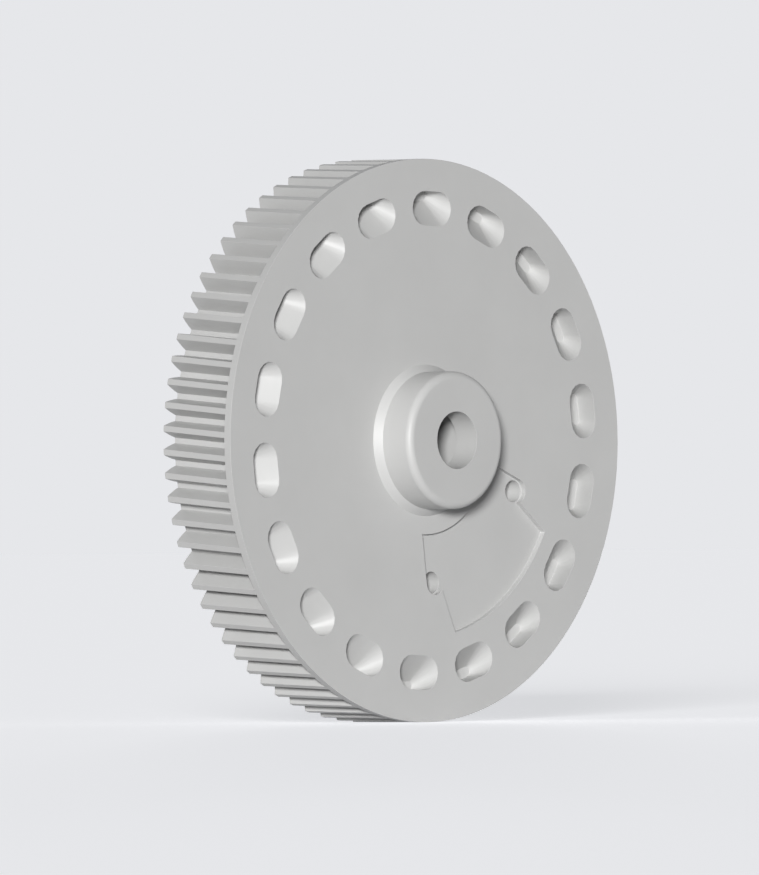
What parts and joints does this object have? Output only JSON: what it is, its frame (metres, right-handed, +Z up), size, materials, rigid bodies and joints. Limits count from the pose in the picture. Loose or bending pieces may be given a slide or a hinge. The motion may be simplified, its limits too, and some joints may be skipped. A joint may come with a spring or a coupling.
{
  "type": "helical gear",
  "caption": "Moulded helical gear wheel with a closed front flange, slanted pockets, ribbed back and a long hub nose, turning on a needle roller bearing.",
  "frame": {"origin": "on the gear's axis at the middle of the toothed rim's width", "axes": "+Y along the axis from the front face with the hub nose to the ribbed back, +Z up, +X to the right seen from the front"},
  "size_m": [0.0774, 0.0207, 0.0774],
  "materials": {
    "wheel_plastic": "light grey acetal, moulded, fine spark-eroded texture",
    "race_steel": "hardened bearing steel, ground",
    "cup_steel": "case-hardened sheet steel, drawn",
    "needle_steel": "bearing steel, lapped bright",
    "cage_plastic": "glass-filled nylon, moulded black"
  },
  "bodies": {
    "ring": {"inner_ring": "race_steel"},
    "wheel": {"gear_wheel": "wheel_plastic", "needle_cup": "cup_steel"},
    "cage": {"needle_cage": "cage_plastic"},
    "needle_01_body": {"needle_01": "needle_steel"},
    "needle_02_body": {"needle_02": "needle_steel"},
    "needle_03_body": {"needle_03": "needle_steel"},
    "needle_04_body": {"needle_04": "needle_steel"},
    "needle_05_body": {"needle_05": "needle_steel"},
    "needle_06_body": {"needle_06": "needle_steel"},
    "needle_07_body": {"needle_07": "needle_steel"},
    "needle_08_body": {"needle_08": "needle_steel"},
    "needle_09_body": {"needle_09": "needle_steel"},
    "needle_10_body": {"needle_10": "needle_steel"},
    "needle_11_body": {"needle_11": "needle_steel"},
    "needle_12_body": {"needle_12": "needle_steel"}
  },
  "joints": [
    {"name": "wheel_spin", "type": "hinge", "parent": "ring", "child": "wheel", "pos_m": [0, 0, 0], "axis": [0, 1, 0], "continuous": true},
    {"name": "cage_spin", "type": "hinge", "parent": "ring", "child": "cage", "pos_m": [0, 0, 0], "axis": [0, 1, 0], "continuous": true},
    {"name": "needle_01_spin", "type": "hinge", "parent": "cage", "child": "needle_01_body", "pos_m": [0.00477, 0.00335, 0], "axis": [0, 1, 0], "continuous": true},
    {"name": "needle_02_spin", "type": "hinge", "parent": "cage", "child": "needle_02_body", "pos_m": [0.00413, 0.00335, 0.00238], "axis": [0, 1, 0], "continuous": true},
    {"name": "needle_03_spin", "type": "hinge", "parent": "cage", "child": "needle_03_body", "pos_m": [0.00238, 0.00335, 0.00413], "axis": [0, 1, 0], "continuous": true},
    {"name": "needle_04_spin", "type": "hinge", "parent": "cage", "child": "needle_04_body", "pos_m": [0, 0.00335, 0.00477], "axis": [0, 1, 0], "continuous": true},
    {"name": "needle_05_spin", "type": "hinge", "parent": "cage", "child": "needle_05_body", "pos_m": [-0.00238, 0.00335, 0.00413], "axis": [0, 1, 0], "continuous": true},
    {"name": "needle_06_spin", "type": "hinge", "parent": "cage", "child": "needle_06_body", "pos_m": [-0.00413, 0.00335, 0.00238], "axis": [0, 1, 0], "continuous": true},
    {"name": "needle_07_spin", "type": "hinge", "parent": "cage", "child": "needle_07_body", "pos_m": [-0.00477, 0.00335, 0], "axis": [0, 1, 0], "continuous": true},
    {"name": "needle_08_spin", "type": "hinge", "parent": "cage", "child": "needle_08_body", "pos_m": [-0.00413, 0.00335, -0.00238], "axis": [0, 1, 0], "continuous": true},
    {"name": "needle_09_spin", "type": "hinge", "parent": "cage", "child": "needle_09_body", "pos_m": [-0.00238, 0.00335, -0.00413], "axis": [0, 1, 0], "continuous": true},
    {"name": "needle_10_spin", "type": "hinge", "parent": "cage", "child": "needle_10_body", "pos_m": [0, 0.00335, -0.00477], "axis": [0, 1, 0], "continuous": true},
    {"name": "needle_11_spin", "type": "hinge", "parent": "cage", "child": "needle_11_body", "pos_m": [0.00238, 0.00335, -0.00413], "axis": [0, 1, 0], "continuous": true},
    {"name": "needle_12_spin", "type": "hinge", "parent": "cage", "child": "needle_12_body", "pos_m": [0.00413, 0.00335, -0.00238], "axis": [0, 1, 0], "continuous": true}
  ],
  "couplings": [
    {"joint": "cage_spin", "follows": "wheel_spin", "ratio": 0.58071},
    {"joint": "needle_01_spin", "follows": "wheel_spin", "ratio": 3.0971},
    {"joint": "needle_02_spin", "follows": "wheel_spin", "ratio": 3.0971},
    {"joint": "needle_03_spin", "follows": "wheel_spin", "ratio": 3.0971},
    {"joint": "needle_04_spin", "follows": "wheel_spin", "ratio": 3.0971},
    {"joint": "needle_05_spin", "follows": "wheel_spin", "ratio": 3.0971},
    {"joint": "needle_06_spin", "follows": "wheel_spin", "ratio": 3.0971},
    {"joint": "needle_07_spin", "follows": "wheel_spin", "ratio": 3.0971},
    {"joint": "needle_08_spin", "follows": "wheel_spin", "ratio": 3.0971},
    {"joint": "needle_09_spin", "follows": "wheel_spin", "ratio": 3.0971},
    {"joint": "needle_10_spin", "follows": "wheel_spin", "ratio": 3.0971},
    {"joint": "needle_11_spin", "follows": "wheel_spin", "ratio": 3.0971},
    {"joint": "needle_12_spin", "follows": "wheel_spin", "ratio": 3.0971}
  ]
}
